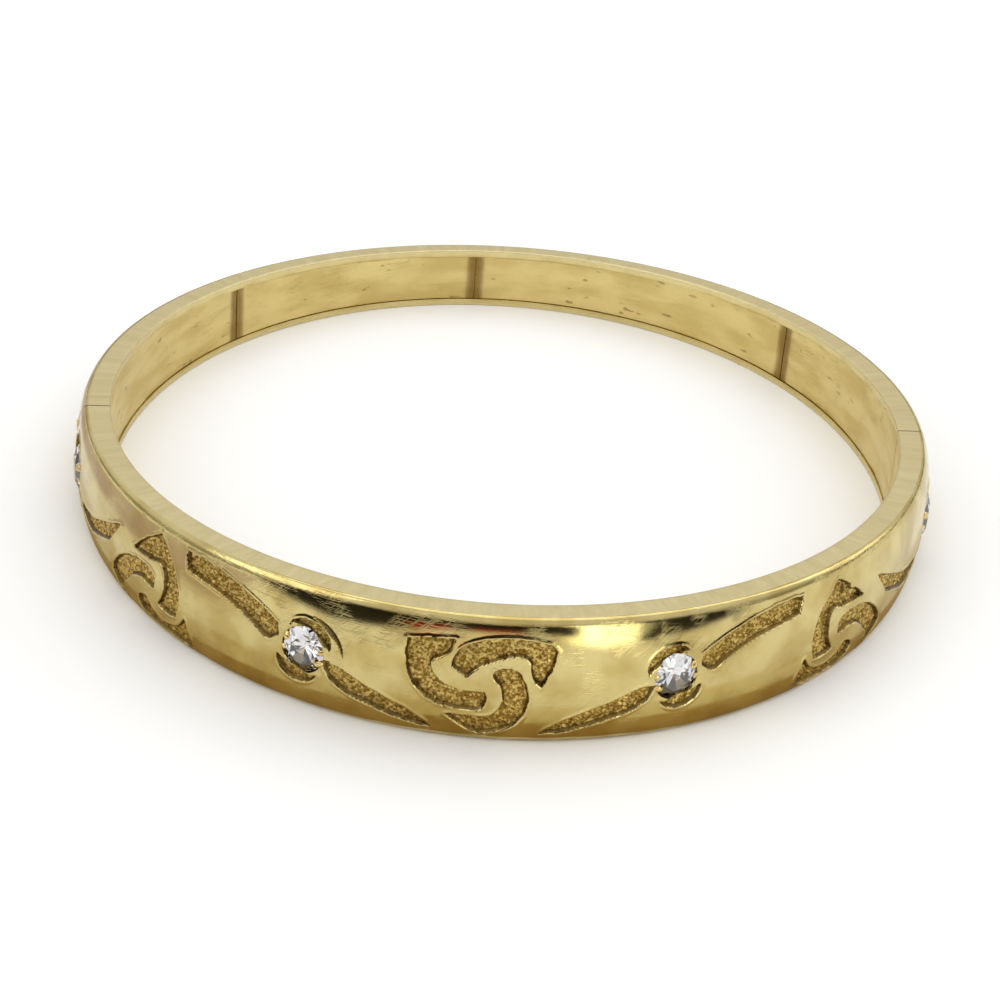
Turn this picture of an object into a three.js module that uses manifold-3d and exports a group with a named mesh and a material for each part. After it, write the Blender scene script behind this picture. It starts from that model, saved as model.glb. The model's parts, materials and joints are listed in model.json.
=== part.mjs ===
// A hinged bangle bracelet: a hollow oval ring, sawn into a decorated front half and a plain
// back half. The halves turn on a pin at -X and close with a tongue and box clasp at +X.
// The ring is wedge shaped, wide at the front (-Y) and narrow at the back (+Y). It stands on
// its flat lower rim at z = 0, and both rims are flat planes. Millimetres, +Z up.

import * as THREE from 'three';
import Module from 'manifold-3d';
import { mergeVertices } from 'three/addons/utils/BufferGeometryUtils.js';

const wasm = await Module();
wasm.setup();

// ---------------------------------------------------------------- driving dimensions

const RIM_LENGTH = 64;          // outer edge of the flat rims, along X
const RIM_DEPTH = 62;           // the same along Y, if the rims kept their width at the back
const RIM_WIDTH = 1.72;         // flat rim, from the wrist opening to its outer edge
const RIM_THICKNESS = 0.6;
const HEIGHT_FRONT = 10.5;
const HEIGHT_BACK = 5.2;
const DOME_RISE = 0.9;          // how far the outer face bulges past the rims
const BACK_SLIMMING = 0.3;       // share of its thickness lost at the middle of the back
const WALL = 0.65;              // thickness of the domed outer wall
const LINING_THICKNESS = 0.45;
const LINING_INSET = 0.08;      // the lining sits this far behind the rims' inner edge
const FIT_GAP = 0.05;           // between pieces that are soldered, set or slide together

const SEAM_Y = -1.7;            // the saw cut between the two halves
const SEAM_GAP = 0.1;
const END_PLATE = 0.6;          // thickness of the plates that close the hollow ends
const BEND_STEP = 4;            // degrees between cross-sections of a bent piece
const DOME_SEGMENTS = 8;

const STONE_RADIUS = 1.55;      // half the width; the stones are oval
const STONE_TALL = 1.2;         // height of a stone over its width
const STONE_GIRDLE = 0.06;
const TABLE_SHARE = 0.57;       // table over girdle
const STONE_CROWN = 0.5;        // girdle to table
const STONE_PAVILION = 1.25;    // girdle to point
const STONE_SINK = 0.3;         // girdle below the surface of the dome
const STONE_ANGLES = [-82.1, -28.3, 18.4, 76];   // degrees round from the middle of the front

const FRONT_LINING_JOINTS = [-45, 0, 45];
const BACK_LINING_JOINTS = [126.7, 181.6, 223.9];
const RIB_HALF_ANGLE = 1.6;
const VENT_RADIUS = 0.25;
const VENT_DROP = 0.7;          // below the upper edge of the lining
const VENT_FROM_SEAM = 1.1;

const PIN_OFFSET = 2.05;         // hinge pin, outwards from the edge of the wrist opening
const PIN_RADIUS = 0.25;
const PIN_FOOT = 0.8;            // height of the pin's lower end, where the dome is just wide enough to hide it
const KNUCKLE_RADIUS = 0.52;
const KNUCKLE_CLEARANCE = 0.08;
const KNUCKLE_LEG = [0.37, 1.07];      // the tab that joins a knuckle to the wall, from the pin
const KNUCKLE_COUNT = 3;
const BARREL_INSET = 1.4;       // barrel ends, in from the rims
const HINGE_POCKET = 1;         // seam to the end plate behind the knuckles
const OPENING_HALF_ANGLE = 27;  // each side of the notch that lets the hinge open

const CLASP_TURN = -3;          // degrees, so that the clasp follows the curve of the wall
const CLASP_INSET = 1.08;       // middle of the clasp, outwards from the wrist opening
const TONGUE_WIDTH = 0.44;
const TONGUE_LENGTH = 3;        // how far the tongue reaches past the seam
const TONGUE_ROOT = 0.9;        // how far it is soldered in behind the back half's end plate
const LEAF_THICKNESS = 0.32;
const LEAF_SHOULDER = -0.95;    // where the leaf drops behind the front end plate
const LEAF_FOLD = 0.3;          // length of the fold at the tongue's tip
const SLOT_WIDTH = 0.66;
const SLOT_LOW = -1;            // slot in the clasp end plates, from the middle of the wall
const SLOT_HIGH = 1.5;
const SLOT_REACH = 1.5;         // the slot's tool, each side of the seam
const BOX_WALL = 0.12;
const BOX_WIDTH = 0.9;
const BOX_LENGTH = 2.4;
const BOX_LOW = -1.7;
const BOX_HIGH = 1.75;
const BOX_GAP = 0.1;            // behind the end plate
const PUSH_AT = 1.75;           // push piece, from the seam into the back half
const PUSH_LENGTH = 1.3;
const PUSH_WIDTH = 0.7;
const PUSH_FLANGE = 0.35;
const FLANGE_THICKNESS = 0.3;
const PUSH_PLAY = 0.15;         // between the push piece and the spring leaf above it

// ---------------------------------------------------------------- derived sizes

const OPEN_X = RIM_LENGTH / 2 - RIM_WIDTH;      // half axes of the wrist opening
const OPEN_Y = RIM_DEPTH / 2 - RIM_WIDTH;
const HEIGHT_MIDDLE = (HEIGHT_FRONT + HEIGHT_BACK) / 2;
const HEIGHT_SLOPE = (HEIGHT_FRONT - HEIGHT_BACK) / RIM_DEPTH;
const LINING_BACK = LINING_INSET + LINING_THICKNESS;
const SEAM_HEIGHT = HEIGHT_MIDDLE - HEIGHT_SLOPE * SEAM_Y;
const SEAM_OPEN_X = OPEN_X * Math.sqrt(1 - (SEAM_Y / OPEN_Y) ** 2);
const SEAM_ANGLE = THREE.MathUtils.radToDeg(Math.acos(-SEAM_Y / OPEN_Y));
const END_OVERLAP = 10;         // degrees that a piece is bent past the seam before it is sawn
const FAR = 60;                 // past the object on every side

// ---------------------------------------------------------------- finishes

function finish(color, roughness, metalness) {
  return new THREE.MeshStandardMaterial({ color, roughness, metalness });
}

const polishedGold = finish(0xd9bd78, 0.18, 1);
const liningGold = finish(0xc2a763, 0.45, 1);
const hiddenGold = finish(0xb59a58, 0.5, 1);
const springGold = finish(0xcdb06a, 0.3, 1);
const pinSteel = finish(0xb9b4a6, 0.3, 1);
const clearStone = finish(0xf2f5f7, 0.05, 0);

// ---------------------------------------------------------------- solids and geometry

function toSolid(geometry) {
  const plain = geometry.clone();
  plain.deleteAttribute('normal');
  plain.deleteAttribute('uv');
  const merged = mergeVertices(plain);
  const mesh = new wasm.Mesh({
    numProp: 3,
    vertProperties: new Float32Array(merged.attributes.position.array),
    triVerts: new Uint32Array(merged.index.array),
  });
  return new wasm.Manifold(mesh);
}

function toGeometry(solid) {
  const mesh = solid.getMesh();
  const geometry = new THREE.BufferGeometry();
  geometry.setAttribute('position', new THREE.BufferAttribute(mesh.vertProperties, 3));
  geometry.setIndex(new THREE.BufferAttribute(mesh.triVerts, 1));
  geometry.computeVertexNormals();
  return geometry;
}

function box(x, y, z) {
  const geometry = new THREE.BoxGeometry(x[1] - x[0], y[1] - y[0], z[1] - z[0]);
  return geometry.translate((x[0] + x[1]) / 2, (y[0] + y[1]) / 2, (z[0] + z[1]) / 2);
}

function uprightCylinder(radius, z, x = 0, y = 0) {
  const geometry = new THREE.CylinderGeometry(radius, radius, z[1] - z[0], 24);
  return geometry.rotateX(Math.PI / 2).translate(x, y, (z[0] + z[1]) / 2);
}

// ---------------------------------------------------------------- bending round the wrist

// A point of the ring. The angle runs round from the middle of the front towards +X, and
// `out` is the distance outwards from the edge of the wrist opening, where the ring is as thick
// as at the front. It slims down towards the back.
function ringPoint(degrees, out) {
  const t = THREE.MathUtils.degToRad(degrees);
  const normal = new THREE.Vector2(Math.sin(t) / OPEN_X, -Math.cos(t) / OPEN_Y).normalize();
  const edge = new THREE.Vector2(OPEN_X * Math.sin(t), -OPEN_Y * Math.cos(t));
  const slim = 1 - BACK_SLIMMING * Math.max(0, -Math.cos(t)) ** 2;
  return { point: edge.addScaledVector(normal, out * slim), normal };
}

// Sections are drawn HEIGHT_MIDDLE tall. The rims keep their thickness where the ring is
// taller or lower, and what is between them is stretched.
function taperedHeight(drawn, y) {
  const height = HEIGHT_MIDDLE - HEIGHT_SLOPE * y;
  const between = HEIGHT_MIDDLE - 2 * RIM_THICKNESS;
  if (drawn <= RIM_THICKNESS) return drawn;
  if (drawn >= HEIGHT_MIDDLE - RIM_THICKNESS) return height - (HEIGHT_MIDDLE - drawn);
  return RIM_THICKNESS + ((drawn - RIM_THICKNESS) * (height - 2 * RIM_THICKNESS)) / between;
}

// Extrudes a section, whose x is height and whose y is distance outwards, straight along z
// in degrees, and then bends the bar round the wrist.
function bentBar(section, from, to) {
  const steps = Math.max(1, Math.round((to - from) / BEND_STEP));
  const options = { depth: to - from, steps, bevelEnabled: false, curveSegments: 1 };
  const geometry = new THREE.ExtrudeGeometry(new THREE.Shape(section), options);
  const position = geometry.attributes.position;
  for (let i = 0; i < position.count; i++) {
    const { point } = ringPoint(from + position.getZ(i), position.getY(i));
    const z = taperedHeight(position.getX(i), point.y);
    position.setXYZ(i, point.x, point.y, z);
  }
  return geometry;
}

function section(...corners) {
  return corners.map(([height, out]) => new THREE.Vector2(height, out));
}

// The dome is half an ellipse from the lower rim to the upper one, pushed inwards by `inset`
// and shortened by `trim` at each end.
function domeArc(inset, trim) {
  const halfHeight = HEIGHT_MIDDLE / 2 - trim;
  const corners = [];
  for (let i = 0; i <= DOME_SEGMENTS; i++) {
    const a = (Math.PI * i) / DOME_SEGMENTS;
    const height = HEIGHT_MIDDLE / 2 - halfHeight * Math.cos(a);
    corners.push([height, RIM_WIDTH - inset + DOME_RISE * Math.sin(a)]);
  }
  return corners;
}

function wallSection() {
  const outside = domeArc(0, 0);
  const inside = domeArc(WALL, RIM_THICKNESS).reverse();
  const top = [HEIGHT_MIDDLE, 0];
  const underTop = [HEIGHT_MIDDLE - RIM_THICKNESS, 0];
  return section([0, 0], ...outside, top, underTop, ...inside, [RIM_THICKNESS, 0]);
}

function liningSection() {
  const low = RIM_THICKNESS + FIT_GAP;
  const high = HEIGHT_MIDDLE - low;
  return section([low, LINING_INSET], [low, LINING_BACK], [high, LINING_BACK], [high, LINING_INSET]);
}

// What fits inside the hollow, behind the lining: the ribs and the end plates.
function hollowSection() {
  const low = RIM_THICKNESS + FIT_GAP;
  const high = HEIGHT_MIDDLE - low;
  const back = LINING_BACK + FIT_GAP;
  return section([low, back], ...domeArc(WALL + FIT_GAP, low), [high, back]);
}

// The slab of space between two planes across Y.
function between(low, high) {
  return toSolid(box([-FAR, FAR], [low, high], [-FAR, FAR]));
}

const frontSpace = between(-FAR, SEAM_Y - SEAM_GAP / 2);
const backSpace = between(SEAM_Y + SEAM_GAP / 2, FAR);
const halves = {
  front: { from: -SEAM_ANGLE, to: SEAM_ANGLE, space: frontSpace, joints: FRONT_LINING_JOINTS },
  back: { from: SEAM_ANGLE, to: 360 - SEAM_ANGLE, space: backSpace, joints: BACK_LINING_JOINTS },
};

// ---------------------------------------------------------------- stones and their seats

// A brilliant's profile, from its point to the middle of its table, grown by `gap`.
function stoneProfile(gap) {
  return [
    new THREE.Vector2(0, -STONE_PAVILION - gap),
    new THREE.Vector2(STONE_RADIUS + gap, 0),
    new THREE.Vector2(STONE_RADIUS + gap, STONE_GIRDLE),
    new THREE.Vector2(STONE_RADIUS * TABLE_SHARE + gap, STONE_CROWN + gap),
    new THREE.Vector2(0, STONE_CROWN + gap),
  ];
}

function seatProfile() {
  const [point, girdle] = stoneProfile(FIT_GAP);
  const above = STONE_CROWN + 1;
  return [point, girdle, new THREE.Vector2(girdle.x, above), new THREE.Vector2(0, above)];
}

// Turns a profile round Y, makes it oval, and sets it into the dome at the given angle, table
// outwards.
function setInDome(profile, degrees) {
  const { point, normal } = ringPoint(degrees, RIM_WIDTH + DOME_RISE - STONE_SINK);
  const height = HEIGHT_MIDDLE - HEIGHT_SLOPE * point.y;
  const turn = new THREE.Quaternion().setFromUnitVectors(
    new THREE.Vector3(0, 1, 0),
    new THREE.Vector3(normal.x, normal.y, 0),
  );
  const geometry = new THREE.LatheGeometry(profile, 16).scale(1, 1, STONE_TALL);
  return geometry.applyQuaternion(turn).translate(point.x, point.y, height / 2);
}

// ---------------------------------------------------------------- places of hinge and clasp

const hingeX = -SEAM_OPEN_X - PIN_OFFSET;
const barrel = [BARREL_INSET, SEAM_HEIGHT - BARREL_INSET];

// The clasp's own frame: y runs along the tongue towards the back half, x away from the
// wrist, and z = 0 is the middle of the wall.
const claspFrame = new THREE.Matrix4()
  .makeRotationZ(THREE.MathUtils.degToRad(CLASP_TURN))
  .setPosition(SEAM_OPEN_X + CLASP_INSET, SEAM_Y, SEAM_HEIGHT / 2);

function claspBlock(x, y, z) {
  return toSolid(box(x, y, z).applyMatrix4(claspFrame));
}

// Clears the knuckles, and notches the dome so that its edges pass as the hinge opens.
function hingeNotch() {
  const reach = 3;
  const halfWidth = reach * Math.tan(THREE.MathUtils.degToRad(OPENING_HALF_ANGLE));
  const wedge = new THREE.Shape([
    new THREE.Vector2(0, 0),
    new THREE.Vector2(-reach, halfWidth),
    new THREE.Vector2(-reach, -halfWidth),
  ]);
  const options = { depth: SEAM_HEIGHT + 2, bevelEnabled: false };
  const notch = new THREE.ExtrudeGeometry(wedge, options).translate(hingeX, SEAM_Y, -1);
  const ends = [barrel[0] - KNUCKLE_CLEARANCE, barrel[1] + KNUCKLE_CLEARANCE];
  const radius = KNUCKLE_RADIUS + KNUCKLE_CLEARANCE;
  const pocket = uprightCylinder(radius, ends, hingeX, SEAM_Y);
  const pinHole = uprightCylinder(PIN_RADIUS + FIT_GAP, [PIN_FOOT - FIT_GAP, BARREL_INSET], hingeX, SEAM_Y);
  return toSolid(notch).add(toSolid(pocket)).add(toSolid(pinHole));
}

function claspSlot() {
  const wide = [-SLOT_WIDTH / 2, SLOT_WIDTH / 2];
  return claspBlock(wide, [-SLOT_REACH, SLOT_REACH], [SLOT_LOW, SLOT_HIGH]);
}

const pushSpan = [PUSH_AT - PUSH_LENGTH / 2, PUSH_AT + PUSH_LENGTH / 2];

function pushHole() {
  const x = [-PUSH_WIDTH / 2 - FIT_GAP, PUSH_WIDTH / 2 + FIT_GAP];
  const y = [pushSpan[0] - FIT_GAP, pushSpan[1] + FIT_GAP];
  const rimToDome = RIM_THICKNESS + 1;    // clears the corner where the dome leaves the rim
  return claspBlock(x, y, [-SEAM_HEIGHT / 2 - 1, -SEAM_HEIGHT / 2 + rimToDome]);
}

// ---------------------------------------------------------------- the two halves

const bangle = new THREE.Group();

function addPiece(name, shape, material) {
  const geometry = shape.getMesh ? toGeometry(shape) : shape;
  const mesh = new THREE.Mesh(geometry, material);
  mesh.name = name;
  bangle.add(mesh);
}

function bentSolid(half, outline, from, to) {
  return toSolid(bentBar(outline, from, to)).intersect(half.space);
}

function makeShell(name) {
  const half = halves[name];
  const from = half.from - END_OVERLAP;
  const to = half.to + END_OVERLAP;
  let shell = bentSolid(half, wallSection(), from, to).subtract(hingeNotch());
  if (name === 'front') {
    for (const degrees of STONE_ANGLES) {
      shell = shell.subtract(toSolid(setInDome(seatProfile(), degrees)));
    }
  } else {
    shell = shell.subtract(pushHole());
  }
  addPiece(`${name}_shell`, shell, polishedGold);
}

// A half's lining is four strips that meet over ribs. A vent by the hinge let the gases out
// when the hollow was soldered shut.
function makeLining(name) {
  const half = halves[name];
  const ends = [half.from - END_OVERLAP, ...half.joints, half.to + END_OVERLAP];
  const jointGap = 0.08;
  for (let i = 0; i < ends.length - 1; i++) {
    const from = ends[i] + jointGap;
    const to = ends[i + 1] - jointGap;
    let strip = bentSolid(half, liningSection(), from, to);
    if (name === 'back' && i === ends.length - 2) strip = strip.subtract(ventHole());
    addPiece(`${name}_lining_${i + 1}`, strip, liningGold);
  }
  half.joints.forEach((joint, i) => {
    const rib = bentBar(hollowSection(), joint - RIB_HALF_ANGLE, joint + RIB_HALF_ANGLE);
    addPiece(`${name}_rib_${i + 1}`, rib, hiddenGold);
  });
}

function ventHole() {
  const hole = new THREE.CylinderGeometry(VENT_RADIUS, VENT_RADIUS, 3, 16).rotateZ(Math.PI / 2);
  const height = SEAM_HEIGHT - RIM_THICKNESS - VENT_DROP;
  return toSolid(hole.translate(-SEAM_OPEN_X, SEAM_Y + VENT_FROM_SEAM, height));
}

// A plate across the hollow, between two distances from the seam, at the hinge or the clasp.
function endPlate(side, near, far) {
  const middle = side === 'hinge' ? -SEAM_ANGLE : SEAM_ANGLE;
  const bar = bentBar(hollowSection(), middle - END_OVERLAP, middle + END_OVERLAP);
  const low = SEAM_Y + Math.min(near, far);
  const high = SEAM_Y + Math.max(near, far);
  return toSolid(bar).intersect(between(low, high));
}

function makeEndPlates(name) {
  const away = name === 'front' ? -1 : 1;
  const hingeFace = HINGE_POCKET + FIT_GAP;
  const hingePlate = endPlate('hinge', away * hingeFace, away * (hingeFace + END_PLATE));
  const claspFace = SEAM_GAP / 2;
  const claspPlate = endPlate('clasp', away * claspFace, away * (claspFace + END_PLATE));
  addPiece(`${name}_hinge_end_plate`, hingePlate, hiddenGold);
  addPiece(`${name}_clasp_end_plate`, claspPlate.subtract(claspSlot()), hiddenGold);
}

function makeStones() {
  STONE_ANGLES.forEach((degrees, i) => {
    addPiece(`stone_${i + 1}`, setInDome(stoneProfile(0), degrees), clearStone);
  });
}

// ---------------------------------------------------------------- hinge

// One knuckle of the barrel, with the leg that is soldered to its half's end plate.
function knuckle(z, away) {
  const y = away < 0 ? [-HINGE_POCKET, -SEAM_GAP / 2] : [SEAM_GAP / 2, HINGE_POCKET];
  const tube = toSolid(uprightCylinder(KNUCKLE_RADIUS, z));
  const whole = tube.add(toSolid(box(KNUCKLE_LEG, y, z)));
  const bore = toSolid(uprightCylinder(PIN_RADIUS + FIT_GAP, [-1, SEAM_HEIGHT + 1]));
  return toGeometry(whole.subtract(bore)).translate(hingeX, SEAM_Y, 0);
}

function makeHinge() {
  const length = (barrel[1] - barrel[0]) / KNUCKLE_COUNT;
  const names = ['front_knuckle_lower', 'back_knuckle', 'front_knuckle_upper'];
  names.forEach((name, i) => {
    const z = [barrel[0] + i * length + FIT_GAP / 2, barrel[0] + (i + 1) * length - FIT_GAP / 2];
    addPiece(name, knuckle(z, name.startsWith('front') ? -1 : 1), hiddenGold);
  });
  const pin = uprightCylinder(PIN_RADIUS, [PIN_FOOT, barrel[1]], hingeX, SEAM_Y);
  addPiece('hinge_pin', pin, pinSteel);
}

// ---------------------------------------------------------------- clasp

// A sleeve behind the front half's slotted end plate, open towards the seam.
function makeClaspBox() {
  const mouth = -SEAM_GAP - END_PLATE - FIT_GAP - BOX_GAP;
  const half = BOX_WIDTH / 2;
  const outer = claspBlock([-half, half], [mouth - BOX_LENGTH, mouth], [BOX_LOW, BOX_HIGH]);
  const innerX = [BOX_WALL - half, half - BOX_WALL];
  const innerY = [mouth - BOX_LENGTH + BOX_WALL, mouth + 1];
  const inner = claspBlock(innerX, innerY, [BOX_LOW + BOX_WALL, BOX_HIGH - BOX_WALL]);
  addPiece('clasp_box', outer.subtract(inner), hiddenGold);
}

// A strip of the tongue: its outline is drawn along the tongue and upwards.
function tongueStrip(outline) {
  const shape = new THREE.Shape(outline.map(([y, z]) => new THREE.Vector2(y, z)));
  const geometry = new THREE.ExtrudeGeometry(shape, { depth: TONGUE_WIDTH, bevelEnabled: false });
  const alongY = new THREE.Matrix4().makeBasis(
    new THREE.Vector3(0, 1, 0),
    new THREE.Vector3(0, 0, 1),
    new THREE.Vector3(1, 0, 0),
  );
  geometry.applyMatrix4(alongY).translate(-TONGUE_WIDTH / 2, 0, 0);
  return geometry.applyMatrix4(claspFrame);
}

// The tongue is a fixed strip with a spring leaf folded back under it from its tip. The leaf
// runs down to a shoulder behind the front end plate and on over the push piece.
function makeTongue() {
  const top = SLOT_HIGH - FIT_GAP;
  const under = top - LEAF_THICKNESS;
  const tip = -TONGUE_LENGTH;
  const root = SEAM_GAP / 2 + END_PLATE + TONGUE_ROOT;
  const fixed = tongueStrip([[tip, under], [root, under], [root, top], [tip, top]]);
  addPiece('clasp_tongue', fixed, springGold);

  const low = SLOT_LOW + FIT_GAP;
  const high = low + LEAF_THICKNESS;
  const foldLow = under - FIT_GAP - LEAF_THICKNESS;
  const foldHigh = under - FIT_GAP;
  const end = pushSpan[1];
  const leaf = [
    [tip, foldLow], [tip + LEAF_FOLD, foldLow], [LEAF_SHOULDER, low], [end, low],
    [end, high], [LEAF_SHOULDER + 0.1, high], [tip + LEAF_FOLD + 0.05, foldHigh], [tip, foldHigh],
  ];
  addPiece('clasp_spring_leaf', tongueStrip(leaf), springGold);
}

// A plunger under the spring leaf. Its foot is flush with the lower rim, and a flange inside
// the wall keeps it from dropping out.
function makePushPiece() {
  const foot = -SEAM_HEIGHT / 2;
  const half = PUSH_WIDTH / 2;
  const stem = claspBlock([-half, half], pushSpan, [foot, SLOT_LOW - PUSH_PLAY]);
  const flangeY = [pushSpan[0] - PUSH_FLANGE, pushSpan[1] + PUSH_FLANGE];
  const flangeLow = foot + RIM_THICKNESS + FIT_GAP;
  const flange = claspBlock([-half, 0], flangeY, [flangeLow, flangeLow + FLANGE_THICKNESS]);
  addPiece('clasp_push_piece', stem.add(flange), springGold);
}

for (const name of Object.keys(halves)) {
  makeShell(name);
  makeLining(name);
  makeEndPlates(name);
}
makeStones();
makeHinge();
makeClaspBox();
makeTongue();
makePushPiece();

export default bangle;
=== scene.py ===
# %% [markdown]
# # A hinged gold bangle
# The bangle is a hollow oval ring of polished gold, taller at the front than at the back. It is sawn
# into two halves, with a hinge at one side and a push clasp at the other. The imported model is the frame,
# which gives every place and size. The pieces made here stand in that same frame, in metres.

# %% Load the frame
import json
import math
import bmesh
import bpy
import numpy as np
from mathutils import Matrix, Vector

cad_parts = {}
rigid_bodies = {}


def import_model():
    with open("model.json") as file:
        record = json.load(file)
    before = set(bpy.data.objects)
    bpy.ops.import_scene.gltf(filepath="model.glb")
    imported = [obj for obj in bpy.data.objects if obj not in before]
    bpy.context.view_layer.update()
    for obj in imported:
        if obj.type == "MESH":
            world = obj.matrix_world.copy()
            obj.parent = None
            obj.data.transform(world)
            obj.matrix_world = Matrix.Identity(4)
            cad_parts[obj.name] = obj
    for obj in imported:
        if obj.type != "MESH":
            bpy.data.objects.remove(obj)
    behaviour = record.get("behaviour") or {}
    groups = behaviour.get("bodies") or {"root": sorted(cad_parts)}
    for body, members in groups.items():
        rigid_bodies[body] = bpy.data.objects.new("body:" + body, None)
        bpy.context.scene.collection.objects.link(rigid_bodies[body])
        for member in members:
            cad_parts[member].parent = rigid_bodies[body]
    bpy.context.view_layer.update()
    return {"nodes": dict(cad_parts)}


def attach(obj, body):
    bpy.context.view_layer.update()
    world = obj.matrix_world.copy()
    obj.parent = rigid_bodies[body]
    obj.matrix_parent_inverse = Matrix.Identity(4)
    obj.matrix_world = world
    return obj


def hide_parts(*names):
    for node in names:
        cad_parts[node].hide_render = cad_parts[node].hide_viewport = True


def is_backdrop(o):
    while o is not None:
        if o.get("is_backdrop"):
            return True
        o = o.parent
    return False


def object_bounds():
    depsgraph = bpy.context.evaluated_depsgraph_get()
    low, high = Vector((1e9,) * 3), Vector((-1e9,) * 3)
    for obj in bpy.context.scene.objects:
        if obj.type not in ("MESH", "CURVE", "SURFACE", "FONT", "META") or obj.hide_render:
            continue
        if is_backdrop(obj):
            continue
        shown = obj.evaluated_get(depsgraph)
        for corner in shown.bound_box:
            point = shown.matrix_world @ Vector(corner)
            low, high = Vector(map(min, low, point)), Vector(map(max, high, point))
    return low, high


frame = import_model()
MM = 0.001

# %% [markdown]
# The camera comes first, so that everything made later can be judged from the same place. It looks down at
# the front of the ring, a little from its left, and is rolled a few degrees. A long lens keeps the oval
# from looking stretched.

# %% Camera
camera_data = bpy.data.cameras.new("camera")
camera = bpy.data.objects.new("camera", camera_data)
bpy.context.scene.collection.objects.link(camera)
bpy.context.scene.camera = camera
CAMERA_PLACE = Vector((-0.01929, -0.1972, 0.13084))
CAMERA_AIM = Vector((0, 0, 0.003925))
RING_TILT = math.radians(2.447)      # the middle plane of the tapered ring leans this much
CAMERA_ROLL = math.radians(4.493)
view_line = (CAMERA_AIM - CAMERA_PLACE).normalized()
level_right = view_line.cross(Vector((0, math.sin(RING_TILT), math.cos(RING_TILT)))).normalized()
level_up = level_right.cross(view_line)
rolled_right = level_right * math.cos(CAMERA_ROLL) + level_up * math.sin(CAMERA_ROLL)
rolled_up = level_up * math.cos(CAMERA_ROLL) - level_right * math.sin(CAMERA_ROLL)
camera_turn = Matrix((rolled_right, rolled_up, -view_line)).transposed().to_4x4()
camera.matrix_world = Matrix.Translation(CAMERA_PLACE) @ camera_turn
camera_data.lens = 109
camera_data.sensor_width = 36
camera_data.shift_x = -0.0035
camera_data.shift_y = -0.049
camera_data.clip_start = 0.01
camera_data.clip_end = 10
bpy.context.scene.view_settings.view_transform = "Standard"

# %% [markdown]
# ## The bent wall
# A goldsmith bends a strip of metal round an oval and solders it. The same idea works for a mesh: a section
# is drawn flat, as heights and distances outwards, and each of its points is swept round the ellipse of the
# wrist opening. The ring's height falls in a straight line from front to back.

# %% Sizes of the ring, in millimetres
OPEN_X = 30.28           # half axes of the wrist opening
OPEN_Y = 29.28
RIM_WIDTH = 1.72
RIM_THICKNESS = 0.6
DOME_RISE = 0.9
WALL = 0.65
BACK_SLIMMING = 0.3      # share of its thickness lost at the middle of the back
HEIGHT_MIDDLE = 7.85
HEIGHT_SLOPE = 5.3 / 62
SEAM_Y = -1.7
SEAM_HALF_GAP = 0.05
SEAM_HEIGHT = HEIGHT_MIDDLE - HEIGHT_SLOPE * SEAM_Y
SEAM_OPEN_X = OPEN_X * math.sqrt(1 - (SEAM_Y / OPEN_Y) ** 2)
HINGE_X = -SEAM_OPEN_X - 2.05
STONE_TURNS = (-82.1, -28.3, 18.4, 76)    # degrees round from the middle of the front


# %% Helpers that place a point on the ring
def ring_point(turn, out):
    """Plan position of points `out` mm from the wrist opening, and the outward direction there."""
    t = np.radians(turn)
    across = np.sin(t) / OPEN_X
    deep = -np.cos(t) / OPEN_Y
    size = np.hypot(across, deep)
    across, deep = across / size, deep / size
    out = out * (1 - BACK_SLIMMING * np.maximum(0, -np.cos(t)) ** 2)
    return OPEN_X * np.sin(t) + out * across, -OPEN_Y * np.cos(t) + out * deep, across, deep


def ring_height(y):
    return HEIGHT_MIDDLE - HEIGHT_SLOPE * y


def tapered(drawn, y):
    """Height of a point of the section, drawn HEIGHT_MIDDLE tall. The rims keep their thickness."""
    height = ring_height(y)
    stretch = (height - 2 * RIM_THICKNESS) / (HEIGHT_MIDDLE - 2 * RIM_THICKNESS)
    middle = RIM_THICKNESS + (drawn - RIM_THICKNESS) * stretch
    top = height - (HEIGHT_MIDDLE - drawn)
    upper = np.where(drawn >= HEIGHT_MIDDLE - RIM_THICKNESS, top, middle)
    return np.where(drawn <= RIM_THICKNESS, drawn, upper)


def saw_turn(out, plane, guess):
    """The turn at which a line `out` mm from the opening crosses the saw cut, found by small steps."""
    turn = np.full(np.shape(out), float(guess))
    for _ in range(12):
        y = ring_point(turn, out)[1]
        slope = (ring_point(turn + 0.01, out)[1] - y) / 0.01
        turn = turn - (y - plane) / slope
    return turn


# the distance along the crest of the dome, measured from the middle of the front
_turns = np.linspace(-110, 290, 8001)
_crest = ring_point(_turns, RIM_WIDTH + DOME_RISE)
_arc = np.concatenate([[0], np.cumsum(np.hypot(np.diff(_crest[0]), np.diff(_crest[1])))])
_arc -= np.interp(0, _turns, _arc)


def arc_of(turn):
    return np.interp(turn, _turns, _arc)


print("girth of the front in mm:", round(float(arc_of(93.3) - arc_of(-93.3)), 1))


# %% Helper that turns a bent grid of points into a closed piece
def piece(name, mesh):
    made = bpy.data.objects.new(name, mesh)
    bpy.context.scene.collection.objects.link(made)
    return made


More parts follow.
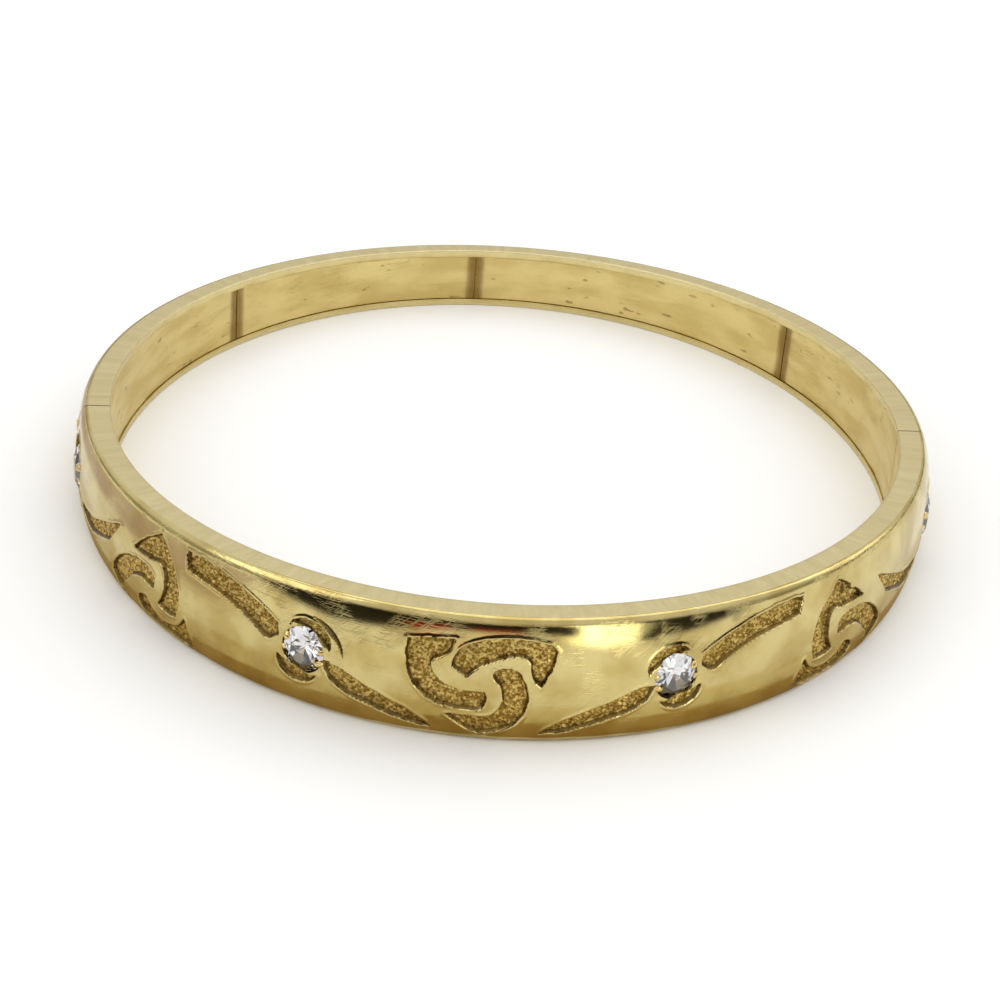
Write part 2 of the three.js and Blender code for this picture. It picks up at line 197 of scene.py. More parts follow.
def closed_grid(name, x, y, z, marks):
    """Skins a grid of points: rows run round the bangle, columns run round the section. Ends are capped."""
    rows, columns = x.shape
    points = np.stack([x, y, z], -1).reshape(-1, 3) * MM
    i, j = np.meshgrid(np.arange(rows - 1), np.arange(columns), indexing="ij")
    beside = (j + 1) % columns
    row, next_row = i * columns, (i + 1) * columns
    quads = np.stack([row + j, next_row + j, next_row + beside, row + beside], -1)
    faces = quads.reshape(-1, 4).tolist()
    faces.append(list(range(columns)))
    faces.append(list(range((rows - 1) * columns, rows * columns))[::-1])
    mesh = bpy.data.meshes.new(name)
    mesh.from_pydata(points.tolist(), [], faces)
    for mark, values in marks.items():
        layer = mesh.attributes.new(mark, "FLOAT", "POINT")
        flat = np.broadcast_to(values, x.shape).astype(np.float32).ravel()
        layer.data.foreach_set("value", flat)
    mesh.validate()
    volume = bmesh.new()
    volume.from_mesh(mesh)
    if volume.calc_volume(signed=True) < 0:
        mesh.flip_normals()
    volume.free()
    return piece(name, mesh)


def smooth(made, degrees=35):
    made.data.shade_smooth()
    made.data.set_sharp_from_angle(angle=math.radians(degrees))
    print(made.name, len(made.data.polygons), "faces")
    return made


def cut_away(made, tool):
    """Subtracts a tool from a piece and applies the result, then throws the tool away."""
    change = made.modifiers.new("cut", "BOOLEAN")
    change.operation = "DIFFERENCE"
    change.solver = "MANIFOLD"
    change.object = tool
    graph = bpy.context.evaluated_depsgraph_get()
    result = bpy.data.meshes.new_from_object(made.evaluated_get(graph))
    made.modifiers.clear()
    if len(result.polygons) == 0:
        raise RuntimeError("nothing is left of " + made.name)
    made.data = result
    bpy.data.objects.remove(tool)


# %% [markdown]
# ## The pattern
# The front is decorated with recesses, chased or cast about a third of a millimetre deep: three whorls of
# three hooks each, and long leaves that run through the four stones, with a crescent above and below each
# stone. Each outline is drawn flat in millimetres, as a smooth curve through a few points. A corner is a
# place where the curve may break.

# %% Helper that draws an outline
def outline(points, corners=(), steps=6):
    """A closed Catmull-Rom curve through the points, broken at the corner points."""
    p = np.array(points, float)
    n = len(p)
    ring = []
    for k in range(n):
        a, b, c, d = p[(k - 1) % n], p[k], p[(k + 1) % n], p[(k + 2) % n]
        if k in corners:
            a = 2 * b - c
        if (k + 1) % n in corners:
            d = 2 * c - b
        u = np.linspace(0, 1, steps, endpoint=False)[:, None]
        square = (2 * a - 5 * b + 4 * c - d) * u**2
        cube = (3 * b - a - 3 * c + d) * u**3
        ring.append(0.5 * (2 * b + (c - a) * u + square + cube))
    return np.concatenate(ring)


def moved(shape, centre, mirror=1):
    return shape * (mirror, 1) + centre


# %% [markdown]
# The middle whorl is the one that faces the viewer. Its hooks have a blunt inner end, swell round the
# centre and end in a drawn-out tip. The lowest hook is flatter, because the edge of the band stops it.

# %% The middle whorl
hook_left = outline(
    [(-5.42, 2.9), (-3.9, 3.15), (-2.1, 3.3), (-2.5, 2.2), (-3.62, 1.35), (-3.5, 0.43), (-2.8, -0.33),
     (-1.55, -0.83), (0.15, -0.86), (0.32, -1.6), (-0.05, -2.35), (-1.55, -2.45), (-3.3, -2.08),
     (-4.43, -1.2), (-5.18, -0.07), (-5.45, 1.5)],
    corners=(0, 2, 8))
hook_top = outline(
    [(-2.2, 1.3), (-1.55, 2.68), (-0.3, 3.3), (1.2, 3.6), (2.95, 3.55), (4.45, 3.2), (5.03, 2.75),
     (4.8, 1.6), (4.08, -0.28), (3.4, 0.6), (3.15, 1.8), (2.75, 2.2), (1.95, 2.25), (0.7, 1.8),
     (-0.3, 1.3), (-1.15, 0.35)],
    corners=(6, 8, 15))
hook_low = outline(
    [(0.65, 0.6), (1.2, 1.25), (2.2, 1.1), (2.75, 0.43), (3.15, -0.7), (3.15, -2.2), (2.57, -3.45),
     (1.57, -4.2), (-0.05, -4.7), (-1.3, -4.08), (-2.5, -3.08), (-1.05, -3.0), (0.45, -3.0), (1.2, -2.4),
     (1.45, -1.4), (1.27, -0.33)],
    corners=(8, 10))
MIDDLE_WHORL = (-3.2, 0.15)
shapes = [moved(hook, MIDDLE_WHORL) for hook in (hook_left, hook_top, hook_low)]

# %% [markdown]
# The outer whorls are one design, and the left one is its mirror image. Their hooks are a little larger
# and run off towards the lower edge of the band.

# %% The outer whorls
hook_tall = outline(
    [(-0.75, 5.5), (1.0, 4.3), (2.5, 2.8), (0.5, 2.9), (-1.1, 3.1), (-1.42, 1.8), (-1.2, 0.55),
     (-0.6, -0.6), (-1.6, -0.8), (-2.6, -0.7), (-3.05, 0.8), (-2.9, 2.55), (-2.2, 3.95)],
    corners=(0, 2, 7, 9))
hook_arch = outline(
    [(-0.25, 1.8), (1.0, 2.2), (2.75, 1.9), (4.25, 1.05), (5.5, -0.2), (6.0, -1.3), (5.2, -2.2),
     (3.6, -3.1), (4.3, -1.7), (3.5, -0.7), (2.5, 0.3), (1.25, 0.75), (-0.1, 0.6)],
    corners=(5, 7))
hook_under = outline(
    [(-3.6, -0.3), (-2.7, -1.5), (-1.3, -1.9), (0.1, -1.5), (0.9, -0.7), (1.9, -1.2), (1.7, -2.2),
     (0.3, -2.9), (-2.0, -3.1), (-4.3, -2.7)],
    corners=(0, 9))
RIGHT_WHORL = (25.5, -1.6)
LEFT_WHORL = (-30.3, -1.6)
for hook in (hook_tall, hook_arch, hook_under):
    shapes.append(moved(hook, RIGHT_WHORL))
    shapes.append(moved(hook, LEFT_WHORL, mirror=-1))

# %% [markdown]
# A leaf crosses each stone: a wide, bluntly cut end above and to one side, and a long tip below on the
# other. The crescents are thin moons round the stone. Leaves lean alternately one way and the other.

# %% Leaves and crescents
leaf_wide = outline(
    [(-10.5, 3.9), (-8.7, 3.95), (-6.8, 3.7), (-5.0, 3.15), (-3.3, 2.4), (-2.0, 1.6), (-1.9, 0.6),
     (-2.9, 0.05), (-3.9, 0.7), (-5.2, 1.4), (-7.0, 2.0), (-8.8, 2.3), (-10.2, 2.5)],
    corners=(0, 5, 6, 12))
leaf_tip = outline(
    [(1.5, -0.5), (2.7, -0.6), (4.2, -1.35), (6.3, -2.35), (8.0, -3.15), (9.6, -4.35), (8.2, -4.25),
     (6.6, -3.8), (4.8, -3.2), (3.2, -2.6), (2.0, -1.7)],
    corners=(0, 5, 10))


def crescent(start, end, inside, outside, tall=1.0):
    """A thin moon round the stone, between two angles in degrees."""
    u = np.linspace(0, 1, 17)
    angle = np.radians(start + (end - start) * u)
    swell = np.sin(np.pi * u) ** 0.7
    tips = (inside + outside) / 2
    outer = tips + (outside - tips) * swell
    inner = tips - (tips - inside) * swell
    far_side = np.stack([outer * np.cos(angle), outer * np.sin(angle)], -1)
    near_side = np.stack([inner * np.cos(angle), inner * tall * np.sin(angle)], -1)[1:-1][::-1]
    return np.concatenate([far_side, near_side])


STONE_TALL = 1.2         # the stones are a little taller than they are wide
moon_high = crescent(14, 122, 1.5, 2.7, STONE_TALL)
moon_low = crescent(204, 300, 1.5, 2.85, STONE_TALL)
leaf_side = outline(
    [(-10.7, 2.0), (-8.0, 0.7), (-5.3, -0.5), (-1.8, -1.2), (-1.6, -2.0), (-4.5, -2.1), (-6.6, -1.4),
     (-8.8, -0.45)],
    corners=(0, 3, 4, 7))
SIDE_LEAF_TURNS = {0: -80.1, 3: 71.6}      # the leaf beside each outer stone
second_arc = crescent(4, 80, 2.93, 3.16)
grooves = [moved(second_arc, (float(arc_of(STONE_TURNS[1])), 0))]
STONE_LEAN = (-1, 1, -1, 1)      # which way the leaf leans at each stone
for k, (turn, lean) in enumerate(zip(STONE_TURNS, STONE_LEAN)):
    place = (float(arc_of(turn)), 0)
    leaves = (leaf_wide, leaf_tip) if k in (1, 2) else ()
    for shape in (*leaves, moon_high, moon_low):
        shapes.append(moved(shape, place, mirror=lean))
    if k in SIDE_LEAF_TURNS:
        shapes.append(moved(leaf_side, (float(arc_of(SIDE_LEAF_TURNS[k])), 0), mirror=lean))
print(len(shapes), "recesses")


# %% [markdown]
# To cut the recesses, each point of the dome asks how far inside an outline it lies. That signed distance
# gives a steep wall, a flat floor and a soft raised lip, as a punch leaves them. The floor is stippled.

# %% Helpers that measure the pattern
def signed_distance(shape, along, across):
    """Distance to a closed outline in mm: negative inside."""
    best = np.full(along.shape, 1e9)
    inside = np.zeros(along.shape, bool)
    for (ax, ay), (bx, by) in zip(shape, np.roll(shape, -1, axis=0)):
        dx, dy = bx - ax, by - ay
        length = dx * dx + dy * dy
        if length < 1e-12:
            continue
        u = np.clip(((along - ax) * dx + (across - ay) * dy) / length, 0, 1)
        best = np.minimum(best, (along - ax - u * dx) ** 2 + (across - ay - u * dy) ** 2)
        crosses = (ay > across) != (by > across)
        with np.errstate(divide="ignore", invalid="ignore"):
            hit = ax + (across - ay) * dx / (dy if dy else 1e-12)
        inside ^= crosses & (along < hit)
    return np.where(inside, -1, 1) * np.sqrt(best)


def nearest(outlines, along, across):
    """Signed distance to the nearest of many outlines, working only near each one."""
    field = np.full(along.shape, 9.0)
    reach = 1.0
    for shape in outlines:
        low, high = shape.min(0) - reach, shape.max(0) + reach
        near = (along > low[0]) & (along < high[0]) & (across > low[1]) & (across < high[1])
        if near.any():
            field[near] = np.minimum(field[near], signed_distance(shape, along[near], across[near]))
    return field


def step(low, high, value):
    u = np.clip((value - low) / (high - low), 0, 1)
    return u * u * (3 - 2 * u)


def speckle(along, across, cell, seed):
    """Smooth random bumps with the given cell size in mm, the same on every run."""
    table = np.random.default_rng(seed).random((257, 257))
    a, b = along / cell, across / cell
    i, j = np.floor(a).astype(int), np.floor(b).astype(int)
    u, w = a - i, b - j
    u, w = u * u * (3 - 2 * u), w * w * (3 - 2 * w)
    i0, i1, j0, j1 = i % 257, (i + 1) % 257, j % 257, (j + 1) % 257
    low = table[i0, j0] * (1 - u) + table[i1, j0] * u
    high = table[i0, j1] * (1 - u) + table[i1, j1] * u
    return low * (1 - w) + high * w - 0.5


RECESS_DEPTH = 0.34
STIPPLE_DEPTH = 0.17
GROOVE_DEPTH = 0.22
HAND_CUT = 0.09          # how far an edge strays from its outline
LIP_RISE = 0.05
EDGE_MARGIN = 0.4        # the pattern stops this far from the band's edges
PITTED_TIP = (26.4, 2.9)     # one hook's tip did not cast cleanly: it is broken into small pits
PITTED_REACH = 1.0


def cut_depth(along, across, half_height):
    """How deep the pattern is cut at each point of the dome, and how much of the point is recess."""
    to_edge = half_height - np.abs(across)
    hand_cut = HAND_CUT * speckle(along, across, 0.45, 6)      # a graver's line is never quite even
    field = np.maximum(nearest(shapes, along, across) + hand_cut, EDGE_MARGIN - to_edge)
    floor = step(0.02, -0.13, field)
    from_tip = np.hypot(along - PITTED_TIP[0], across - PITTED_TIP[1]) / PITTED_REACH
    floor = floor * (1 - step(-0.02, 0.1, speckle(along, across, 0.36, 11)) * np.exp(-(from_tip ** 4)))
    groove = step(0.04, -0.1, nearest(grooves, along, across))
    stipple = speckle(along, across, 0.21, 4) + 0.6 * speckle(along, across, 0.1, 5)
    lip = np.exp(-(((field - 0.13) / 0.1) ** 2))
    raised = LIP_RISE * lip * step(0, 0.5, to_edge)
    depth = floor * (RECESS_DEPTH + STIPPLE_DEPTH * stipple) + GROOVE_DEPTH * groove * (1 - floor) - raised
    return depth, np.maximum(floor, 0.9 * groove)


# %% [markdown]
# ## The two shells
# The section of a half's wall is a C: a domed outer wall with a flat rim at top and bottom, open on the
# inside. The dome gets many points, so that the pattern is real geometry and not only a bump.

# %% Section of the wall
def wall_section(dome_points):
    """Heights and distances outwards round the section, and the angle on the dome for each point."""
    soft = 0.09          # radius of the rims' inner edge
    corner = np.radians([0, 30, 60, 90])
    a = np.linspace(0, np.pi, dome_points)
    dome = (HEIGHT_MIDDLE / 2 * (1 - np.cos(a)), RIM_WIDTH + DOME_RISE * np.sin(a))
    b = np.linspace(np.pi, 0, 13)
    half = HEIGHT_MIDDLE / 2 - RIM_THICKNESS
    hollow = (HEIGHT_MIDDLE / 2 - half * np.cos(b), RIM_WIDTH - WALL + DOME_RISE * np.sin(b))
    low_edge = (soft - soft * np.sin(corner), soft - soft * np.cos(corner))
    rim = np.linspace(0.3, RIM_WIDTH - 0.1, 5)
    high_edge = (HEIGHT_MIDDLE - low_edge[0][::-1], low_edge[1][::-1])
    parts = [low_edge, (0 * rim, rim), dome, (0 * rim + HEIGHT_MIDDLE, rim[::-1]), high_edge,
             (np.array([HEIGHT_MIDDLE - RIM_THICKNESS]), np.array([0.0])), hollow,
             (np.array([RIM_THICKNESS]), np.array([0.0]))]
    drawn = np.concatenate([p[0] for p in parts])
    out = np.concatenate([p[1] for p in parts])
    angle = np.full(len(drawn), np.nan)
    first = len(low_edge[0]) + len(rim)
    angle[first:first + dome_points] = a
    rims = np.zeros(len(drawn))
    rims[:first] = 1
    rims[first + dome_points:first + dome_points + len(rim) + 4] = 1
    return drawn, out, angle, rims


def shell(name, dome_points, rows, start, end, plane, patterned):
    """One half's wall: the section swept between the two saw cuts, with the pattern cut into the dome."""
    drawn, out, angle, rims = wall_section(dome_points)
    first = saw_turn(out, plane, start)
    last = saw_turn(out, plane, end)
    share = np.linspace(0, 1, rows)[:, None]
    turn = first + (last - first) * share
    out = np.broadcast_to(out, turn.shape)
    y = ring_point(turn, out)[1]
    z = tapered(drawn, y)
    half = ring_height(y) / 2
    on_dome = ~np.isnan(angle)
    lean_out = np.where(on_dome, half * np.sin(np.nan_to_num(angle)), 1)
    lean_up = np.where(on_dome, -DOME_RISE * np.cos(np.nan_to_num(angle)), 0)
    size = np.hypot(lean_out, lean_up)
    along = arc_of(turn)
    across = z - half
    depth = np.zeros(turn.shape)
    cut = np.zeros(turn.shape)
    if patterned:
        d, c = cut_depth(along[:, on_dome], across[:, on_dome], half[:, on_dome])
        depth[:, on_dome], cut[:, on_dome] = d, c
    wobble = 0.012 * speckle(along, across, 6.0, 8) + 0.006 * speckle(along, across, 2.2, 9)
    depth = depth + np.where(on_dome, wobble * np.sin(np.nan_to_num(angle)), 0)
    x, y, _, _ = ring_point(turn, out - depth * lean_out / size)
    z = z - depth * lean_up / size
    y[0], y[-1] = plane, plane
    marks = {"along": along, "across": across, "cut": cut, "rim": np.broadcast_to(rims, turn.shape)}
    return closed_grid(name, x, y, z, marks)


front_wall = shell("front_wall", 141, 1151, -93.4, 93.4, SEAM_Y - SEAM_HALF_GAP, True)
back_wall = shell("back_wall", 49, 361, 93.4, 266.6, SEAM_Y + SEAM_HALF_GAP, False)
print("walls:", len(front_wall.data.vertices), len(back_wall.data.vertices), "points")


# %% [markdown]
# Three things are cut through the walls: a seat for each stone, a V notch and pocket for the hinge, and
# the hole of the push piece. Each tool is a closed solid taken away with a Boolean.

# %% Tools for the cuts
def finished(bm, name):
    """Turns an edited mesh into a piece, with its faces pointing outwards."""
    bmesh.ops.recalc_face_normals(bm, faces=bm.faces)
    mesh = bpy.data.meshes.new(name)
    bm.to_mesh(mesh)
    bm.free()
    return piece(name, mesh)


def lathe(name, profile, segments=48):
    """Turns a profile of (radius, height) points in mm round Z into a closed solid."""
    bm = bmesh.new()
    rings = []
    for radius, height in profile:
        if radius < 1e-6:
            rings.append([bm.verts.new((0, 0, height * MM))])
            continue
        turns = [2 * math.pi * k / segments for k in range(segments)]
        circle = [(radius * MM * math.cos(t), radius * MM * math.sin(t), height * MM) for t in turns]
        rings.append([bm.verts.new(point) for point in circle])
    for low, high in zip(rings, rings[1:]):
        for k in range(segments):
            n = (k + 1) % segments
            if len(low) == 1 and len(high) > 1:
                bm.faces.new((low[0], high[n], high[k]))
            elif len(high) == 1 and len(low) > 1:
                bm.faces.new((low[k], low[n], high[0]))
            elif len(low) > 1:
                bm.faces.new((low[k], low[n], high[n], high[k]))
    for ring in (rings[0], rings[-1]):
        if len(ring) > 1:
            bm.faces.new(ring)
    return finished(bm, name)


def set_in_dome(turn, sink=0.3):
    """The frame of a stone: its Z points straight out of the dome, at half the ring's height."""
    x, y, nx, ny = (float(c) for c in ring_point(turn, RIM_WIDTH + DOME_RISE - sink))
    out = Vector((nx, ny, 0))
    up = Vector((0, 0, 1))
    side = up.cross(out)
    place = Vector((x, y, ring_height(y) / 2)) * MM
    return Matrix.Translation(place) @ Matrix((side, up, out)).transposed().to_4x4()


def prism(name, corners, low, high):
    """An upright solid with the given plan, in mm."""
    bm = bmesh.new()
    bottom = [bm.verts.new((x * MM, y * MM, low * MM)) for x, y in corners]
    top = [bm.verts.new((x * MM, y * MM, high * MM)) for x, y in corners]
    bm.faces.new(bottom)
    bm.faces.new(top)
    for k in range(len(corners)):
        n = (k + 1) % len(corners)
        bm.faces.new((bottom[k], bottom[n], top[n], top[k]))
    return finished(bm, name)


def bake_place(made, matrix):
    """Moves a piece's mesh, and leaves its object at the origin."""
    made.data.transform(matrix)
    return made


# %% Cut the seats, the hinge and the push piece's hole
oval = Matrix.Diagonal((1, STONE_TALL, 1, 1))
SEAT = [(0, -1.35), (1.6, -0.02), (1.62, 0.3), (1.75, 0.9)]      # a cone under the stone, then a wall
for turn in STONE_TURNS:
    cup = lathe("seat_tool", SEAT)
    cut_away(front_wall, bake_place(cup, set_in_dome(turn) @ oval))
NOTCH_REACH = 3
NOTCH_HALF = NOTCH_REACH * math.tan(math.radians(27))
BARREL = (1.4, SEAM_HEIGHT - 1.4)
PIN_FOOT = 0.8           # height of the pin's lower end
PIN_HOLE_RADIUS = 0.3
POCKET_RADIUS = 0.6      # room for the knuckles
hinge_place = Matrix.Translation((HINGE_X * MM, SEAM_Y * MM, 0))
NOTCH_X = HINGE_X - NOTCH_REACH
notch_corners = [(HINGE_X, SEAM_Y), (NOTCH_X, SEAM_Y + NOTCH_HALF), (NOTCH_X, SEAM_Y - NOTCH_HALF)]
for wall in (front_wall, back_wall):
    cut_away(wall, prism("notch_tool", notch_corners, -1, SEAM_HEIGHT + 1))
    pocket = lathe("pocket_tool", [(POCKET_RADIUS, BARREL[0] - 0.08), (POCKET_RADIUS, BARREL[1] + 0.08)])
    cut_away(wall, bake_place(pocket, hinge_place))
    pin_hole = lathe("pin_tool", [(PIN_HOLE_RADIUS, PIN_FOOT - 0.05), (PIN_HOLE_RADIUS, BARREL[0])])
    cut_away(wall, bake_place(pin_hole, hinge_place))
CLASP_OUT = 1.08         # middle of the clasp, outwards from the wrist opening
CLASP_LEAN = -3          # degrees, to follow the curve of the wall
CLASP_FRAME = (Matrix.Translation((SEAM_OPEN_X * MM + CLASP_OUT * MM, SEAM_Y * MM, SEAM_HEIGHT / 2 * MM))
               @ Matrix.Rotation(math.radians(CLASP_LEAN), 4, "Z"))
PUSH_HOLE = [(-0.4, 1.05), (0.4, 1.05), (0.4, 2.45), (-0.4, 2.45)]
PUSH_HOLE_DEPTH = 1.6
push_tool = prism("push_tool", PUSH_HOLE, -SEAM_HEIGHT / 2 - 1, -SEAM_HEIGHT / 2 + PUSH_HOLE_DEPTH)
cut_away(back_wall, bake_place(push_tool, CLASP_FRAME))
for wall, half in ((front_wall, "front"), (back_wall, "back")):
    smooth(wall, 40)
    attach(wall, half + "_half")
    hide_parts(half + "_shell")

# %% [markdown]
# ## The lining
# Flat strips of the same gold close the hollow on the wrist side. They are soldered end to end over small
# ribs, and each joint shows as a dull upright seam. The strips are slightly uneven from hand work.

# %% Lining strips
LINING_INSET = 0.08
LINING_THICKNESS = 0.45
LINING_LOW = RIM_THICKNESS + 0.05
JOINT_SINK = 0.09        # depth of the hollow along a soldered joint
VENT_PLACE = (1.1, 1.3)  # from the saw cut, and down from the upper rim
JOINTS = {"front": (-45, 0, 45), "back": (126.7, 181.6, 223.9)}


def lining_strip(name, start, end, plane, saw_start, saw_end):
    """One strip. An end on the saw cut follows the cut's plane, and any other end is square to the ring."""
    rise = np.linspace(LINING_LOW + 0.06, HEIGHT_MIDDLE - LINING_LOW - 0.06, 27)
    face = np.full(rise.shape, LINING_INSET)
    drawn = np.concatenate([rise, [HEIGHT_MIDDLE - LINING_LOW] * 2, [LINING_LOW] * 2])
    back = LINING_INSET + LINING_THICKNESS
    out = np.concatenate([face, [LINING_INSET + 0.06, back, back, LINING_INSET + 0.06]])
    first = saw_turn(out, plane, start) if saw_start else np.full(out.shape, start + 0.08)
    last = saw_turn(out, plane, end) if saw_end else np.full(out.shape, end - 0.08)
    rows = int(abs(end - start) / 0.5) + 2
    share = np.linspace(0, 1, rows)[:, None]
    turn = first + (last - first) * share
    out = np.broadcast_to(out, turn.shape).copy()
    along = arc_of(turn)
    y = ring_point(turn, out)[1]
    z = tapered(drawn, y)
    face_part = np.zeros(len(drawn), bool)
    face_part[:27] = True
    uneven = 0.05 * speckle(along, z, 2.6, 21) + 0.02 * speckle(along, z, 0.9, 22)
    from_start = np.abs(along - arc_of(start))
    from_end = np.abs(along - arc_of(end))
    if saw_start:
        to_joint = from_end
    elif saw_end:
        to_joint = from_start
    else:
        to_joint = np.minimum(from_start, from_end)
    sink = JOINT_SINK * step(0.8, 0.4, to_joint)
    out[:, face_part] += (uneven + sink)[:, face_part] + 0.02
    x, y, _, _ = ring_point(turn, out)
    if saw_start:
        y[0] = plane
    if saw_end:
        y[-1] = plane
    ragged = to_joint + 0.12 * speckle(along, z, 0.8, 23)
    marks = {"along": along, "across": z, "joint": step(0.95, 0.45, ragged)}
    return closed_grid(name, x, y, z, marks)


SEAM_TURN = math.degrees(math.acos(-SEAM_Y / OPEN_Y))
lining = []
halves = (("front", -1, -SEAM_TURN, SEAM_TURN), ("back", 1, SEAM_TURN, 360 - SEAM_TURN))
for half, side, from_turn, to_turn in halves:
    edges = [from_turn, *JOINTS[half], to_turn]
    plane = SEAM_Y + side * SEAM_HALF_GAP
    for k in range(4):
        name = f"{half}_lining_strip_{k + 1}"
        strip = lining_strip(name, edges[k], edges[k + 1], plane, k == 0, k == 3)
        if half == "back" and k == 3:
            vent = lathe("vent_tool", [(0.25, -1.5), (0.25, 1.5)], 24)
            vent_place = Vector((-SEAM_OPEN_X, SEAM_Y + VENT_PLACE[0], SEAM_HEIGHT - VENT_PLACE[1])) * MM
            sideways = Matrix.Rotation(math.radians(90), 4, "Y")
            cut_away(strip, bake_place(vent, Matrix.Translation(vent_place) @ sideways))
        smooth(strip, 35)
        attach(strip, half + "_half")
        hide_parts(f"{half}_lining_{k + 1}")
        lining.append(strip)


# %% [markdown]
# ## The stones
# A round brilliant is a solid cut by flat planes: a table, eight crown mains with stars and halves between
# them, and a pointed pavilion. Cutting a disc with the same planes in code gives true facets, which is
# where the sparkle comes from.

# %% Cut a brilliant
STONE_RADIUS = 1.55
STONE_CROWN = 0.5
STONE_PAVILION = 1.25


def facet(bm, slope, turn, radius, height):
    """Cuts off what lies outside a plane through (radius, height), tilted by slope degrees from flat."""
    a, t = math.radians(slope), math.radians(turn)
    direction = Vector((math.sin(a) * math.cos(t), math.sin(a) * math.sin(t), math.cos(a)))
    point = Vector((radius * math.cos(t), radius * math.sin(t), height)) * MM
    everything = bm.verts[:] + bm.edges[:] + bm.faces[:]
    made = bmesh.ops.bisect_plane(
        bm, geom=everything, plane_co=point, plane_no=direction, clear_outer=True, dist=1e-8)
    edges = [e for e in made["geom_cut"] if isinstance(e, bmesh.types.BMEdge)]
    if edges:
        bmesh.ops.edgenet_fill(bm, edges=edges)


def brilliant(name, spin):
    disc = lathe(name, [(STONE_RADIUS, -STONE_PAVILION - 0.1), (STONE_RADIUS, STONE_CROWN + 0.1)], 32)
    bm = bmesh.new()
    bm.from_mesh(disc.data)
    facet(bm, 0, 0, 0, STONE_CROWN)
    crown_slope = 35.5
    for k in range(8):
        facet(bm, crown_slope, 45 * k + spin, STONE_RADIUS * 0.985, 0.05)
        facet(bm, 21.5, 45 * k + 22.5 + spin, STONE_RADIUS * 0.57, STONE_CROWN - 0.02)
        facet(bm, 180 - 39.9, 45 * k + spin, 0, -STONE_PAVILION)
    for k in range(16):
        facet(bm, 42, 22.5 * k + 11.25 + spin, STONE_RADIUS * 0.99, 0.05)
        facet(bm, 180 - 41.2, 22.5 * k + 11.25 + spin, STONE_RADIUS * 0.99, 0.0)
    bmesh.ops.recalc_face_normals(bm, faces=bm.faces)
    bm.to_mesh(disc.data)
    bm.free()
    disc.data.update()
    return disc


stones = []
for k, turn in enumerate(STONE_TURNS):
    stone = brilliant(f"brilliant_{k + 1}", 7 + 13 * k)
    bake_place(stone, set_in_dome(turn) @ oval)
    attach(stone, "front_half")
    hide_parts(f"stone_{k + 1}")
    stones.append(stone)
print("facets of a stone:", len(stones[0].data.polygons))

# %% [markdown]
# Each stone is held by grains: small beads of the wall's own metal, raised with a graver and pushed over
# the girdle. They lean towards the stone and are wider at the foot than at the tip.

# %% Setting grains
GRAIN_TURNS = ((148, 1.0), (188, 0.75), (328, 1.0), (8, 0.75))       # degrees round the stone, and size


def grain(bm, place, turn, size):
    """One bead: rings that shrink and lean in over the girdle."""
    t = math.radians(turn)
    centre = Vector((math.cos(t), math.sin(t), 0))
    sideways = Vector((-math.sin(t), math.cos(t), 0))
    levels = ((1.62, -0.25, 0.36), (1.6, 0.05, 0.35), (1.5, 0.24, 0.3), (1.4, 0.36, 0.21), (1.33, 0.4, 0.1))
    rings = []
    for distance, height, radius in levels:
        ring = []
        for k in range(12):
            a = 2 * math.pi * k / 12
            outwards = distance + radius * size * 0.8 * math.cos(a)
            reach = centre * outwards + sideways * (radius * size * math.sin(a))
            ring.append(bm.verts.new(place @ (Vector((reach.x, reach.y, height * size + 0.08)) * MM)))
        rings.append(ring)
    for low, high in zip(rings, rings[1:]):
        for k in range(12):
            n = (k + 1) % 12
            bm.faces.new((low[k], low[n], high[n], high[k]))
    bm.faces.new(rings[0][::-1])
    bm.faces.new(rings[-1])


for k, (turn, lean) in enumerate(zip(STONE_TURNS, STONE_LEAN)):
    bm = bmesh.new()
    for around, size in GRAIN_TURNS:
        grain(bm, set_in_dome(turn), around if lean > 0 else 180 - around, size)
    grains = finished(bm, f"setting_grains_{k + 1}")
    smooth(grains, 60)
    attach(grains, "front_half")

# %% [markdown]
# ## Finishes
# Every finish is built from nodes. Effects that several finishes share, such as scratches, blotches and
# a satin grain, are node groups with their own inputs. They read two measures stored on each piece: how
# far along the bangle a point is, and how far across.


# %% Helpers for nodes
def group_of(name, settings, outputs):
    """A node group that takes the two measures Along and Across, and its own settings."""
    tree = bpy.data.node_groups.new(name, "ShaderNodeTree")
    for label, value in {"Along": 0.0, "Across": 0.0, **settings}.items():
        socket = tree.interface.new_socket(label, in_out="INPUT", socket_type="NodeSocketFloat")
        socket.default_value = value
    for label in outputs:
        tree.interface.new_socket(label, in_out="OUTPUT", socket_type="NodeSocketFloat")
    return tree, tree.nodes.new("NodeGroupInput").outputs, tree.nodes.new("NodeGroupOutput").inputs


def feed(tree, slot, value):
    """Fills a socket with a constant, or links it to another socket."""
    if isinstance(value, (int, float, tuple)):
        slot.default_value = value
    else:
        tree.links.new(value, slot)


def math_node(tree, operation, *values):
    node = tree.nodes.new("ShaderNodeMath")
    node.operation = operation
    for slot, value in zip(node.inputs, values):
        feed(tree, slot, value)
    return node.outputs[0]


def ramp_node(tree, source, low, high, to_low=0.0, to_high=1.0):
    node = tree.nodes.new("ShaderNodeMapRange")
    node.interpolation_type = "SMOOTHSTEP"
    tree.links.new(source, node.inputs["Value"])
    limits = {"From Min": low, "From Max": high, "To Min": to_low, "To Max": to_high}
    for label, value in limits.items():
        feed(tree, node.inputs[label], value)
    return node.outputs["Result"]


def noise_node(tree, vector, scale, detail=3.0, roughness=0.5):
    node = tree.nodes.new("ShaderNodeTexNoise")
    tree.links.new(vector, node.inputs["Vector"])
    feed(tree, node.inputs["Scale"], scale)
    node.inputs["Detail"].default_value = detail
    node.inputs["Roughness"].default_value = roughness
    return node.outputs["Fac"]


